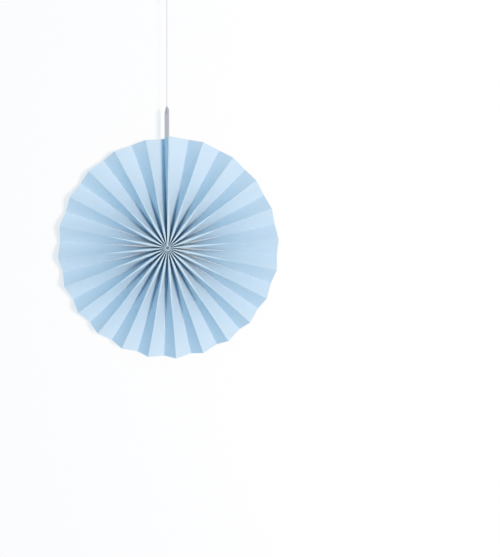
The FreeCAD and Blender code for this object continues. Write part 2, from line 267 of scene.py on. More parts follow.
def make_tape_material():
    """Double-sided tissue tape: a milky film with a long-fibred tissue core."""
    material, tree = new_material("tissue tape")
    place = add(tree, "ShaderNodeTexCoord").outputs["Object"]
    long_way = add(tree, "ShaderNodeMapping", Vector=place,
                   Scale=(1 / (0.4 * MM), 1 / (0.4 * MM), 1 / (4 * MM)))
    tissue = add(tree, "ShaderNodeTexNoise", Vector=long_way.outputs[0], Scale=1.0, Detail=3.0)
    shade = add(tree, "ShaderNodeMix", {"data_type": "RGBA"}, Factor=tissue.outputs["Fac"],
                _6=linear("#E3E3DA"), _7=linear("#F3F3EE"))
    rough = add(tree, "ShaderNodeMapRange", Value=tissue.outputs["Fac"], To_Min=0.3, To_Max=0.5)
    bump = add(tree, "ShaderNodeBump", Strength=0.3, Distance=0.02 * MM,
               Height=tissue.outputs["Fac"])
    shader = add(tree, "ShaderNodeBsdfPrincipled", Base_Color=shade.outputs[2],
                 Roughness=rough.outputs[0], Normal=bump.outputs[0])
    finish_material(tree, shader.outputs[0])
    return material


def make_thread_material():
    """Spun polyester sewing thread: matt, a little fuzzy, with slanted lines between plies."""
    material, tree = new_material("twisted thread")
    place = add(tree, "ShaderNodeTexCoord").outputs["Object"]
    # The lines between plies are 2 mm apart up the thread, 0.63 of the size below. A real
    # thread's are about 0.5 mm apart, which is too fine to show.
    plies = add(tree, "ShaderNodeTexWave", {"wave_type": "BANDS", "bands_direction": "DIAGONAL"},
                Vector=place, Scale=1 / (3.15 * MM), Distortion=0.6, Detail=1.0)
    fuzz = add(tree, "ShaderNodeTexNoise", Vector=place, Scale=1 / (0.25 * MM), Detail=3.0)
    shade = add(tree, "ShaderNodeMix", {"data_type": "RGBA"}, Factor=plies.outputs["Fac"],
                _6=linear("#9A9CA2"), _7=linear("#C4C6CB"))
    rough = add(tree, "ShaderNodeMapRange", Value=fuzz.outputs["Fac"], To_Min=0.6, To_Max=0.85)
    bump = add(tree, "ShaderNodeBump", Strength=0.5, Distance=0.08 * MM,
               Height=plies.outputs["Fac"])
    shader = add(tree, "ShaderNodeBsdfPrincipled", Base_Color=shade.outputs[2],
                 Roughness=rough.outputs[0], Normal=bump.outputs[0], Sheen_Weight=0.3)
    finish_material(tree, shader.outputs[0])
    return material


def paint(node, material):
    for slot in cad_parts[node].material_slots:
        slot.material = material


# The hanging thread, pulled straight between its two knots


def make_hanging_thread(material):
    data = bpy.data.curves.new("taut_thread", "CURVE")
    data.dimensions = "3D"
    route = (TAB_KNOT_TOP, -104, -55, TOP_KNOT_FOOT)
    spline = data.splines.new("NURBS")
    spline.points.add(len(route) - 1)
    for point, height in zip(spline.points, route):
        point.co = (0, 0, height * MM, 1)
    spline.order_u = 3
    spline.use_endpoint_u = True
    data.bevel_depth = THREAD / 2 * MM
    data.bevel_resolution = 3
    data.resolution_u = 16
    data.use_fill_caps = True
    data.materials.append(material)
    thread = bpy.data.objects.new("taut_thread", data)
    bpy.context.collection.objects.link(thread)
    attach(thread, "root")
    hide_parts("hanging_thread")


# The pleated sheet, as Geometry Nodes


def new_group(name, inputs, outputs):
    """A Geometry Nodes group, with its input and output nodes."""
    tree = bpy.data.node_groups.new(name, "GeometryNodeTree")
    for label, kind in inputs:
        tree.interface.new_socket(label, in_out="INPUT", socket_type=kind)
    for label, kind in outputs:
        tree.interface.new_socket(label, in_out="OUTPUT", socket_type=kind)
    return tree, add(tree, "NodeGroupInput").outputs, add(tree, "NodeGroupOutput").inputs


FLOAT, VECTOR = "NodeSocketFloat", "NodeSocketVector"
SHEET_SIZES = {
    "Radius": RADIUS * MM,
    "Hub Radius": HUB * MM,
    "Pleat Width": PLEAT * MM,
    "Paper Gauge": GAUGE * MM,
    "Top Spread": TOP_SPREAD,
    "Fold Lean": math.radians(FOLD_LEAN),
    "Right Opening": math.radians(RIGHT_OPENING),
    "Left Opening": math.radians(LEFT_OPENING),
    "Fin Stack": (STACK - GAUGE / 2) * MM,
    "Fin Lean": FIN_LEAN * MM,
    "Fin Shift": FIN_SHIFT * MM,
    "Unevenness": math.radians(UNEVENNESS),
    "Spaces": float(SPACES),
}
SIZE_SOCKETS = [(name, FLOAT) for name in SHEET_SIZES]


def hand_on(tree, given, node):
    """Link each of the sheet's sizes on to a group node within the tree."""
    for name in SHEET_SIZES:
        tree.links.new(given[name], node.inputs[name])
    return node


def fin_group():
    """A point on the paper's end panels, which lie on the fin's two faces.

    The fin is flat across, and turns a little between the hub and the rim.
    """
    tree, given, out = new_group(
        "fin point", SIZE_SOCKETS + [("Share", FLOAT), ("Side", FLOAT), ("Free", FLOAT)],
        [("Point", VECTOR)])
    half = add(tree, "ShaderNodeMath", {"operation": "MULTIPLY"}, _0=given["Pleat Width"], _1=0.5)
    crease = add(tree, "ShaderNodeMath", {"operation": "MULTIPLY_ADD"},
                 _0=given["Paper Gauge"], _1=-0.5, _2=half.outputs[0])
    # The fold is at the front of the right face, and the free edge at its back
    along = add(tree, "ShaderNodeMath", {"operation": "MULTIPLY_ADD"}, _0=given["Free"],
                _1=-2.0, _2=1.0)
    along = add(tree, "ShaderNodeMath", {"operation": "MULTIPLY"}, _0=along.outputs[0],
                _1=crease.outputs[0])
    back = add(tree, "ShaderNodeMath", {"operation": "MULTIPLY"}, _0=along.outputs[0], _1=-1.0)
    flat = add(tree, "ShaderNodeCombineXYZ", X=given["Fin Stack"], Y=back.outputs[0])
    lean = add(tree, "ShaderNodeMath", {"operation": "DIVIDE"}, _0=given["Fin Lean"],
               _1=given["Pleat Width"])
    rim_turn = add(tree, "ShaderNodeMath", {"operation": "ARCSINE"}, _0=lean.outputs[0])
    inner = add(tree, "ShaderNodeMath", {"operation": "DIVIDE"}, _0=given["Hub Radius"],
                _1=given["Radius"])
    hub_turn = add(tree, "ShaderNodeMath", {"operation": "MULTIPLY"}, _0=lean.outputs[0],
                   _1=inner.outputs[0])
    at_rim = add(tree, "ShaderNodeVectorRotate", {"rotation_type": "Z_AXIS"},
                 Vector=flat.outputs[0], Angle=rim_turn.outputs[0])
    at_hub = add(tree, "ShaderNodeVectorRotate", {"rotation_type": "Z_AXIS"},
                 Vector=flat.outputs[0], Angle=hub_turn.outputs[0])
    across = add(tree, "ShaderNodeMix", {"data_type": "VECTOR"}, Factor=given["Share"],
                 _4=at_hub.outputs[0], _5=at_rim.outputs[0])
    sided = add(tree, "ShaderNodeVectorMath", {"operation": "SCALE"}, Vector=across.outputs[1],
                Scale=given["Side"])
    height = add(tree, "ShaderNodeMapRange", Value=given["Share"], To_Min=given["Hub Radius"],
                 To_Max=given["Radius"])
    shift = add(tree, "ShaderNodeMath", {"operation": "DIVIDE"}, _0=height.outputs[0],
                _1=given["Radius"])
    shift = add(tree, "ShaderNodeMath", {"operation": "MULTIPLY"}, _0=shift.outputs[0],
                _1=given["Fin Shift"])
    middle = add(tree, "ShaderNodeCombineXYZ", X=shift.outputs[0], Z=height.outputs[0])
    point = add(tree, "ShaderNodeVectorMath", {"operation": "ADD"}, _0=sided.outputs[0],
                _1=middle.outputs[0])
    tree.links.new(point.outputs[0], out["Point"])
    return tree


def place_group(fin):
    """Where a fold is, seen from the front. Folds are numbered clockwise from the fin's.

    Even folds are front folds. Numbers past either end give the paper's free edges.
    """
    tree, given, out = new_group("fold place", SIZE_SOCKETS + [("Fold", FLOAT), ("Share", FLOAT)],
                                 [("Point", VECTOR)])
    half_lean = add(tree, "ShaderNodeMath", {"operation": "MULTIPLY"}, _0=given["Fin Lean"], _1=0.5)
    right = add(tree, "ShaderNodeMath", {"operation": "ADD"}, _0=given["Fin Shift"],
                _1=half_lean.outputs[0])
    left = add(tree, "ShaderNodeMath", {"operation": "SUBTRACT"}, _0=given["Fin Shift"],
               _1=half_lean.outputs[0])
    first = add(tree, "ShaderNodeMath", {"operation": "ARCTAN2"}, _0=right.outputs[0],
                _1=given["Radius"])
    first = add(tree, "ShaderNodeMath", {"operation": "ADD"}, _0=first.outputs[0],
                _1=given["Right Opening"])
    last = add(tree, "ShaderNodeMath", {"operation": "ARCTAN2"}, _0=left.outputs[0],
               _1=given["Radius"])
    last = add(tree, "ShaderNodeMath", {"operation": "SUBTRACT"}, _0=last.outputs[0],
               _1=given["Left Opening"])
    last = add(tree, "ShaderNodeMath", {"operation": "ADD"}, _0=last.outputs[0], _1=2 * math.pi)
    even = add(tree, "ShaderNodeMapRange", {"clamp": False}, Value=given["Fold"], From_Min=0.0,
               From_Max=given["Spaces"], To_Min=first.outputs[0], To_Max=last.outputs[0])
    sine = add(tree, "ShaderNodeMath", {"operation": "SINE"}, _0=even.outputs[0])
    cosine = add(tree, "ShaderNodeMath", {"operation": "COSINE"}, _0=even.outputs[0])
    angle = add(tree, "ShaderNodeMath", {"operation": "MULTIPLY_ADD"}, _0=sine.outputs[0],
                _1=given["Top Spread"], _2=even.outputs[0])
    odd = add(tree, "ShaderNodeMath", {"operation": "PINGPONG"}, _0=given["Fold"], _1=1.0)
    lean = add(tree, "ShaderNodeMath", {"operation": "MULTIPLY"}, _0=odd.outputs[0],
               _1=given["Fold Lean"])
    angle = add(tree, "ShaderNodeMath", {"operation": "MULTIPLY_ADD"}, _0=cosine.outputs[0],
                _1=lean.outputs[0], _2=angle.outputs[0])
    # No two folds made by hand are spaced quite alike
    number = add(tree, "FunctionNodeFloatToInt", {"rounding_mode": "ROUND"}, _0=given["Fold"])
    stray = add(tree, "FunctionNodeRandomValue", {"data_type": "FLOAT"}, _2=-1.0, _3=1.0,
                ID=number.outputs[0], Seed=7)
    angle = add(tree, "ShaderNodeMath", {"operation": "MULTIPLY_ADD"}, _0=stray.outputs[1],
                _1=given["Unevenness"], _2=angle.outputs[0])
    stack = add(tree, "ShaderNodeMapRange", {"clamp": False}, Value=given["Fold"], From_Min=0.0,
                From_Max=given["Spaces"], To_Min=1.0, To_Max=-1.0)
    stack = add(tree, "ShaderNodeMath", {"operation": "MULTIPLY"}, _0=stack.outputs[0],
                _1=given["Fin Stack"])
    radius = add(tree, "ShaderNodeMapRange", Value=given["Share"], To_Min=given["Hub Radius"],
                 To_Max=given["Radius"])
    spoke = add(tree, "ShaderNodeCombineXYZ", X=stack.outputs[0], Z=radius.outputs[0])
    disc_point = add(tree, "ShaderNodeVectorRotate", {"rotation_type": "Y_AXIS"},
                     Vector=spoke.outputs[0], Angle=angle.outputs[0])
    # The two folds on the fin, and the free edges beyond them
    on_right = add(tree, "FunctionNodeCompare", {"operation": "LESS_THAN"}, _0=given["Fold"],
                   _1=0.5)
    near_end = add(tree, "ShaderNodeMath", {"operation": "SUBTRACT"}, _0=given["Spaces"], _1=0.5)
    on_left = add(tree, "FunctionNodeCompare", {"operation": "GREATER_THAN"}, _0=given["Fold"],
                  _1=near_end.outputs[0])
    side = add(tree, "GeometryNodeSwitch", {"input_type": "FLOAT"}, Switch=on_left.outputs[0],
               _1=1.0, _2=-1.0)
    before = add(tree, "ShaderNodeMath", {"operation": "LESS_THAN"}, _0=given["Fold"], _1=-0.5)
    past_end = add(tree, "ShaderNodeMath", {"operation": "ADD"}, _0=given["Spaces"], _1=0.5)
    after = add(tree, "ShaderNodeMath", {"operation": "GREATER_THAN"}, _0=given["Fold"],
                _1=past_end.outputs[0])
    free = add(tree, "ShaderNodeMath", {"operation": "ADD"}, _0=before.outputs[0],
               _1=after.outputs[0])
    fin_point = hand_on(tree, given, add(
        tree, "GeometryNodeGroup", {"node_tree": fin}, Share=given["Share"],
        Side=side.outputs[0], Free=free.outputs[0]))
    on_fin = add(tree, "FunctionNodeBooleanMath", {"operation": "OR"}, _0=on_right.outputs[0],
                 _1=on_left.outputs[0])
    point = add(tree, "GeometryNodeSwitch", {"input_type": "VECTOR"}, Switch=on_fin.outputs[0],
                _1=disc_point.outputs[0], _2=fin_point.outputs[0])
    tree.links.new(point.outputs[0], out["Point"])
    return tree


def depth_group(place):
    """Where a fold is, seen from the front, and how far it stands from the pleats' middle.

    A panel keeps its width, so the wider it spreads, the less deep it stands.
    """
    tree, given, out = new_group("fold depth", SIZE_SOCKETS + [("Fold", FLOAT), ("Share", FLOAT)],
                                 [("Point", VECTOR), ("Depth", FLOAT)])
    here = hand_on(tree, given, add(tree, "GeometryNodeGroup", {"node_tree": place},
                                    Fold=given["Fold"], Share=given["Share"]))
    gaps = []
    for step in (-1.0, 1.0):
        fold = add(tree, "ShaderNodeMath", {"operation": "ADD"}, _0=given["Fold"], _1=step)
        other = hand_on(tree, given, add(tree, "GeometryNodeGroup", {"node_tree": place},
                                         Fold=fold.outputs[0], Share=given["Share"]))
        gap = add(tree, "ShaderNodeVectorMath", {"operation": "SUBTRACT"},
                  _0=other.outputs[0], _1=here.outputs[0])
        gap = add(tree, "ShaderNodeVectorMath", {"operation": "MULTIPLY"}, _0=gap.outputs[0],
                  _1=(1, 0, 1))
        gaps.append(add(tree, "ShaderNodeVectorMath", {"operation": "LENGTH"}, _0=gap.outputs[0]))
    chord = add(tree, "ShaderNodeMath", {"operation": "ADD"}, _0=gaps[0].outputs["Value"],
                _1=gaps[1].outputs["Value"])
    chord = add(tree, "ShaderNodeMath", {"operation": "MULTIPLY"}, _0=chord.outputs[0], _1=0.5)
    square = add(tree, "ShaderNodeMath", {"operation": "POWER"}, _0=chord.outputs[0], _1=2.0)
    width = add(tree, "ShaderNodeMath", {"operation": "POWER"}, _0=given["Pleat Width"], _1=2.0)
    depth = add(tree, "ShaderNodeMath", {"operation": "SUBTRACT"}, _0=width.outputs[0],
                _1=square.outputs[0])
    depth = add(tree, "ShaderNodeMath", {"operation": "SQRT"}, _0=depth.outputs[0])
    depth = add(tree, "ShaderNodeMath", {"operation": "MULTIPLY"}, _0=depth.outputs[0], _1=0.5)
    tree.links.new(here.outputs[0], out["Point"])
    tree.links.new(depth.outputs[0], out["Depth"])
    return tree


def ridge_group(place, fold_depth):
    """Where a fold is in all three directions.

    The fin is deeper than the pleats. They stand forward on its right and back on its left,
    and step from the one to the other round the whole circle.
    """
    tree, given, out = new_group("fold ridge", SIZE_SOCKETS + [("Fold", FLOAT), ("Share", FLOAT)],
                                 [("Point", VECTOR)])
    here = hand_on(tree, given, add(tree, "GeometryNodeGroup", {"node_tree": fold_depth},
                                    Fold=given["Fold"], Share=given["Share"]))
    beside = hand_on(tree, given, add(tree, "GeometryNodeGroup", {"node_tree": fold_depth},
                                      Fold=1.0, Share=given["Share"]))
    at_fin = hand_on(tree, given, add(tree, "GeometryNodeGroup", {"node_tree": place},
                                      Fold=0.0, Share=given["Share"]))
    fin_place = add(tree, "ShaderNodeSeparateXYZ", Vector=at_fin.outputs[0])
    step = add(tree, "ShaderNodeMath", {"operation": "ADD"}, _0=fin_place.outputs["Y"],
               _1=beside.outputs["Depth"])
    # From all of the step just right of the fin to minus all of it just left
    turn = add(tree, "ShaderNodeMapRange", {"clamp": False}, Value=given["Fold"], From_Min=0.0,
               From_Max=given["Spaces"], To_Min=1.0, To_Max=-1.0)
    drift = add(tree, "ShaderNodeMath", {"operation": "MULTIPLY"}, _0=step.outputs[0],
                _1=turn.outputs[0])
    odd = add(tree, "ShaderNodeMath", {"operation": "PINGPONG"}, _0=given["Fold"], _1=1.0)
    side = add(tree, "ShaderNodeMath", {"operation": "MULTIPLY_ADD"}, _0=odd.outputs[0],
               _1=2.0, _2=-1.0)
    middle = add(tree, "ShaderNodeMath", {"operation": "MULTIPLY_ADD"}, _0=given["Paper Gauge"],
                 _1=-0.5, _2=here.outputs["Depth"])
    deep = add(tree, "ShaderNodeMath", {"operation": "MULTIPLY_ADD"}, _0=side.outputs[0],
               _1=middle.outputs[0], _2=drift.outputs[0])
    flat = add(tree, "ShaderNodeSeparateXYZ", Vector=here.outputs["Point"])
    on_disc = add(tree, "ShaderNodeCombineXYZ", X=flat.outputs["X"], Y=deep.outputs[0],
                  Z=flat.outputs["Z"])
    near_end = add(tree, "ShaderNodeMath", {"operation": "SUBTRACT"}, _0=given["Spaces"], _1=0.5)
    right = add(tree, "FunctionNodeCompare", {"operation": "GREATER_THAN"}, _0=given["Fold"],
                _1=0.5)
    left = add(tree, "FunctionNodeCompare", {"operation": "LESS_THAN"}, _0=given["Fold"],
               _1=near_end.outputs[0])
    between = add(tree, "FunctionNodeBooleanMath", {"operation": "AND"}, _0=right.outputs[0],
                  _1=left.outputs[0])
    point = add(tree, "GeometryNodeSwitch", {"input_type": "VECTOR"}, Switch=between.outputs[0],
                _1=here.outputs["Point"], _2=on_disc.outputs[0])
    tree.links.new(point.outputs[0], out["Point"])
    return tree


def spring_push(tree, given, ends, from_fold, second_half):
    """How folds spring open, which rounds them off: a push away from the nearer fold.

    It is most at a short distance behind the crease, and nothing where the disc is wide.
    """
    span = add(tree, "ShaderNodeVectorMath", {"operation": "SUBTRACT"}, _0=ends[1].outputs[0],
               _1=ends[0].outputs[0])
    span = add(tree, "ShaderNodeVectorMath", {"operation": "MULTIPLY"}, _0=span.outputs[0],
               _1=(1, 0, 1))
    chord = add(tree, "ShaderNodeVectorMath", {"operation": "LENGTH"}, _0=span.outputs[0])
    sideways = add(tree, "ShaderNodeVectorMath", {"operation": "NORMALIZE"}, _0=span.outputs[0])
    # A fold that its two panels already open widely springs less
    opened = add(tree, "ShaderNodeMath", {"operation": "MULTIPLY"}, _0=chord.outputs["Value"],
                 _1=given["Spring Depth"])
    opened = add(tree, "ShaderNodeMath", {"operation": "DIVIDE"}, _0=opened.outputs[0],
                 _1=given["Pleat Width"])
    left_over = add(tree, "ShaderNodeMath", {"operation": "MULTIPLY_ADD"}, _0=opened.outputs[0],
                    _1=-2.0, _2=given["Spring"])
    # In the middle of the disc there is only the space between two folds, less the paper.
    # Up to 0.35 mm apart they fill it and touch, and past 0.75 mm they take 0.45 of it.
    taken = add(tree, "ShaderNodeMapRange", Value=chord.outputs["Value"], From_Min=0.35 * MM,
                From_Max=0.75 * MM, To_Min=1.0, To_Max=0.45)
    room = add(tree, "ShaderNodeMath", {"operation": "MULTIPLY"}, _0=chord.outputs["Value"],
               _1=taken.outputs[0])
    room = add(tree, "ShaderNodeMath", {"operation": "MULTIPLY_ADD"}, _0=given["Paper Gauge"],
               _1=-0.5, _2=room.outputs[0])
    room = add(tree, "ShaderNodeMath", {"operation": "MINIMUM"}, _0=room.outputs[0],
               _1=left_over.outputs[0])
    room = add(tree, "ShaderNodeMath", {"operation": "MAXIMUM"}, _0=room.outputs[0], _1=0.0)
    # A fold that springs less is rounded to a smaller depth too
    depth = add(tree, "ShaderNodeMath", {"operation": "DIVIDE"}, _0=room.outputs[0],
                _1=given["Spring"])
    depth = add(tree, "ShaderNodeMath", {"operation": "MULTIPLY"}, _0=depth.outputs[0],
                _1=given["Spring Depth"])
    behind = add(tree, "ShaderNodeMath", {"operation": "MULTIPLY"}, _0=from_fold.outputs[0],
                 _1=given["Pleat Width"])
    behind = add(tree, "ShaderNodeMath", {"operation": "DIVIDE"}, _0=behind.outputs[0],
                 _1=depth.outputs[0])
    fade = add(tree, "ShaderNodeMath", {"operation": "SUBTRACT"}, _0=1.0, _1=behind.outputs[0])
    fade = add(tree, "ShaderNodeMath", {"operation": "EXPONENT"}, _0=fade.outputs[0])
    teardrop = add(tree, "ShaderNodeMath", {"operation": "MULTIPLY"}, _0=behind.outputs[0],
                   _1=fade.outputs[0])
    spring = add(tree, "ShaderNodeMath", {"operation": "MULTIPLY"}, _0=teardrop.outputs[0],
                 _1=room.outputs[0])
    # Away from the nearer fold: forwards along the strip in a panel's first half, and
    # backwards in its second
    turned = add(tree, "ShaderNodeMath", {"operation": "MULTIPLY_ADD"},
                 _0=second_half.outputs[0], _1=-2.0, _2=1.0)
    spring = add(tree, "ShaderNodeMath", {"operation": "MULTIPLY"}, _0=spring.outputs[0],
                 _1=turned.outputs[0])
    return add(tree, "ShaderNodeVectorMath", {"operation": "SCALE"}, Vector=sideways.outputs[0],
               Scale=spring.outputs[0])


def bow_push(tree, given, flat, across, share):
    """Panels aren't quite flat: each bows a little between its folds, and most at the rim."""
    waves = add(tree, "ShaderNodeMath", {"operation": "DIVIDE"}, _0=1.0, _1=given["Wave Size"])
    noise = add(tree, "ShaderNodeTexNoise", Vector=flat.outputs[0], Scale=waves.outputs[0],
                Detail=1.0)
    # Nearly all of the noise lies between 0.3 and 0.7
    swing = add(tree, "ShaderNodeMapRange", Value=noise.outputs["Fac"], From_Min=0.3,
                From_Max=0.7, To_Min=-1.0, To_Max=1.0)
    arch = add(tree, "ShaderNodeMath", {"operation": "MULTIPLY"}, _0=across.outputs[0],
               _1=math.pi)
    arch = add(tree, "ShaderNodeMath", {"operation": "SINE"}, _0=arch.outputs[0])
    bow = add(tree, "ShaderNodeMath", {"operation": "MULTIPLY"}, _0=swing.outputs[0],
              _1=arch.outputs[0])
    bow = add(tree, "ShaderNodeMath", {"operation": "MULTIPLY"}, _0=bow.outputs[0],
              _1=given["Bow"])
    bow = add(tree, "ShaderNodeMath", {"operation": "MULTIPLY"}, _0=bow.outputs[0],
              _1=share.outputs[0])
    normal = add(tree, "GeometryNodeInputNormal")
    return add(tree, "ShaderNodeVectorMath", {"operation": "SCALE"}, Vector=normal.outputs[0],
               Scale=bow.outputs[0])


def sheet_group(material):
    """The whole strip: a grid whose columns run along the folds and rows across them."""
    fold_place = place_group(fin_group())
    ridge = ridge_group(fold_place, depth_group(fold_place))
    tree, given, out = new_group(
        "pleated strip",
        [("Geometry", "NodeSocketGeometry")] + SIZE_SOCKETS
        + [("Steps Across", "NodeSocketInt"), ("Rows", "NodeSocketInt"), ("Bow", FLOAT),
           ("Wave Size", FLOAT), ("Spring", FLOAT), ("Spring Depth", FLOAT)],
        [("Geometry", "NodeSocketGeometry")])
    panels = add(tree, "ShaderNodeMath", {"operation": "ADD"}, _0=given["Spaces"], _1=2.0)
    columns = add(tree, "ShaderNodeMath", {"operation": "MULTIPLY_ADD"}, _0=panels.outputs[0],
                  _1=given["Steps Across"], _2=1.0)
    grid = add(tree, "GeometryNodeMeshGrid", Vertices_X=columns.outputs[0],
               Vertices_Y=given["Rows"])
    number = add(tree, "GeometryNodeInputIndex")
    column = add(tree, "ShaderNodeMath", {"operation": "DIVIDE"}, _0=number.outputs[0],
                 _1=given["Rows"])
    column = add(tree, "ShaderNodeMath", {"operation": "FLOOR"}, _0=column.outputs[0])
    row = add(tree, "ShaderNodeMath", {"operation": "FLOORED_MODULO"}, _0=number.outputs[0],
              _1=given["Rows"])
    rows = add(tree, "ShaderNodeMath", {"operation": "SUBTRACT"}, _0=given["Rows"], _1=1.0)
    share = add(tree, "ShaderNodeMath", {"operation": "DIVIDE"}, _0=row.outputs[0],
                _1=rows.outputs[0])
    # Rows lie closer together near the hub
    share = add(tree, "ShaderNodeMath", {"operation": "POWER"}, _0=share.outputs[0],
                _1=ROW_CROWDING)
    panel = add(tree, "ShaderNodeMath", {"operation": "DIVIDE"}, _0=column.outputs[0],
                _1=given["Steps Across"])
    across = add(tree, "ShaderNodeMath", {"operation": "FRACT"}, _0=panel.outputs[0])
    # Columns lie closer together at the folds: the distance from the nearest fold, in
    # half panels, is raised to a power
    half = add(tree, "ShaderNodeMath", {"operation": "PINGPONG"}, _0=across.outputs[0], _1=0.5)
    half = add(tree, "ShaderNodeMath", {"operation": "MULTIPLY"}, _0=half.outputs[0], _1=2.0)
    half = add(tree, "ShaderNodeMath", {"operation": "POWER"}, _0=half.outputs[0],
               _1=STEP_CROWDING)
    from_fold = add(tree, "ShaderNodeMath", {"operation": "MULTIPLY"}, _0=half.outputs[0], _1=0.5)
    second_half = add(tree, "ShaderNodeMath", {"operation": "GREATER_THAN"}, _0=across.outputs[0],
                      _1=0.5)
    other_way = add(tree, "ShaderNodeMath", {"operation": "SUBTRACT"}, _0=1.0,
                    _1=from_fold.outputs[0])
    across = add(tree, "ShaderNodeMix", {"data_type": "FLOAT"}, Factor=second_half.outputs[0],
                 _2=from_fold.outputs[0], _3=other_way.outputs[0])
    near = add(tree, "ShaderNodeMath", {"operation": "FLOOR"}, _0=panel.outputs[0])
    near = add(tree, "ShaderNodeMath", {"operation": "SUBTRACT"}, _0=near.outputs[0], _1=1.0)
    far = add(tree, "ShaderNodeMath", {"operation": "ADD"}, _0=near.outputs[0], _1=1.0)
    ends = [hand_on(tree, given, add(tree, "GeometryNodeGroup", {"node_tree": ridge},
                                     Fold=fold.outputs[0], Share=share.outputs[0]))
            for fold in (near, far)]
    place = add(tree, "ShaderNodeMix", {"data_type": "VECTOR"}, Factor=across.outputs[0],
                _4=ends[0].outputs[0], _5=ends[1].outputs[0])
    # Where each point is on the strip before it was folded
    along = add(tree, "ShaderNodeMath", {"operation": "ADD"}, _0=far.outputs[0],
                _1=across.outputs[0])
    along = add(tree, "ShaderNodeMath", {"operation": "MULTIPLY"}, _0=along.outputs[0],
                _1=given["Pleat Width"])
    height = add(tree, "ShaderNodeMapRange", Value=share.outputs[0], To_Min=given["Hub Radius"],
                 To_Max=given["Radius"])
    flat = add(tree, "ShaderNodeCombineXYZ", X=along.outputs[0], Y=height.outputs[0])
    grid = add(tree, "GeometryNodeStoreNamedAttribute",
               {"data_type": "FLOAT_VECTOR", "domain": "POINT"}, Geometry=grid.outputs[0],
               Name="flat", Value=flat.outputs[0])
    grid = add(tree, "GeometryNodeSetPosition", Geometry=grid.outputs[0],
               Position=place.outputs[1])
    spring = spring_push(tree, given, ends, from_fold, second_half)
    bow = bow_push(tree, given, flat, across, share)
    push = add(tree, "ShaderNodeVectorMath", {"operation": "ADD"}, _0=bow.outputs[0],
               _1=spring.outputs[0])
    # The two end panels stay flat on the fin
    after_first = add(tree, "FunctionNodeCompare", {"operation": "GREATER_THAN"},
                      _0=panel.outputs[0], _1=1.0)
    last_panel = add(tree, "ShaderNodeMath", {"operation": "ADD"}, _0=given["Spaces"], _1=1.0)
    before_last = add(tree, "FunctionNodeCompare", {"operation": "LESS_THAN"},
                      _0=panel.outputs[0], _1=last_panel.outputs[0])
    free = add(tree, "FunctionNodeBooleanMath", {"operation": "AND"}, _0=after_first.outputs[0],
               _1=before_last.outputs[0])
    grid = add(tree, "GeometryNodeSetPosition", Geometry=grid.outputs[0],
               Selection=free.outputs[0], Offset=push.outputs[0])
    # The strip's last edge is turned over the front of the fin, nearly to the first fold,
    # so that no card shows there
    first_fold = hand_on(tree, given, add(tree, "GeometryNodeGroup", {"node_tree": ridge},
                                          Fold=0.0, Share=share.outputs[0]))
    lip = add(tree, "ShaderNodeMix", {"data_type": "VECTOR"}, Factor=TURNED_OVER,
              _4=place.outputs[1], _5=first_fold.outputs[0])
    # The last column is at Spaces + 2, less a little so that rounding doesn't miss it
    strip_end = add(tree, "ShaderNodeMath", {"operation": "ADD"}, _0=given["Spaces"], _1=1.999)
    at_end = add(tree, "FunctionNodeCompare", {"operation": "GREATER_THAN"},
                 _0=panel.outputs[0], _1=strip_end.outputs[0])
    grid = add(tree, "GeometryNodeSetPosition", Geometry=grid.outputs[0],
               Selection=at_end.outputs[0], Position=lip.outputs[1])
    grid = add(tree, "GeometryNodeSetMaterial", Geometry=grid.outputs[0], Material=material)
    tree.links.new(grid.outputs[0], out["Geometry"])
    return tree


def make_sheet(material):
    data = bpy.data.meshes.new("strip")
    maker = bpy.data.objects.new("strip_maker", data)
    bpy.context.collection.objects.link(maker)
    tree = sheet_group(material)
    modifier = maker.modifiers.new("pleats", "NODES")
    modifier.node_group = tree
    values = dict(SHEET_SIZES)
    values.update({"Steps Across": STEPS_ACROSS, "Rows": ROWS, "Bow": BOW * MM,
                   "Wave Size": WAVE_SIZE * MM, "Spring": SPRING * MM,
                   "Spring Depth": SPRING_DEPTH * MM})
    for item in tree.interface.items_tree:
        if item.item_type == "SOCKET" and item.in_out == "INPUT" and item.name in values:
            modifier[item.identifier] = values[item.name]
    wall = maker.modifiers.new("gauge", "SOLIDIFY")
    wall.thickness = GAUGE * MM
    wall.offset = 0
    wall.use_even_offset = False
    bpy.context.view_layer.update()
    graph = bpy.context.evaluated_depsgraph_get()
    mesh = bpy.data.meshes.new_from_object(maker.evaluated_get(graph))
    bpy.data.objects.remove(maker)
    mesh.name = "pleated_sheet"
    # Moved to the hub, and nowhere outside the CAD model's own box
    for vertex in mesh.vertices:
        moved = (vertex.co.x + HUB_X * MM, vertex.co.y, vertex.co.z + HUB_Z * MM)
        vertex.co = [min(max(value, low), high)
                     for value, low, high in zip(moved, *cad_box)]
    edit = bmesh.new()
    edit.from_mesh(mesh)
    bmesh.ops.recalc_face_normals(edit, faces=edit.faces)
    edit.to_mesh(mesh)
    edit.free()
    mesh.shade_smooth()
    mesh.set_sharp_from_angle(angle=math.radians(28))
    sheet = bpy.data.objects.new("pleated_sheet", mesh)
    bpy.context.collection.objects.link(sheet)
    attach(sheet, "root")
    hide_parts("pleated_paper")


# Floor, wall and light


# Linear colours. The lamp is warm, and the soft light from the front is cooler, as from a
# window.
WALL_COLOUR = (0.34, 0.34, 0.34, 1)
LAMP_COLOUR = (1.0, 0.71, 0.53)
FRONT_LIGHT = (0.345, 0.545, 0.69, 1)
BACK_LIGHT = (0.73, 0.73, 0.74, 1)


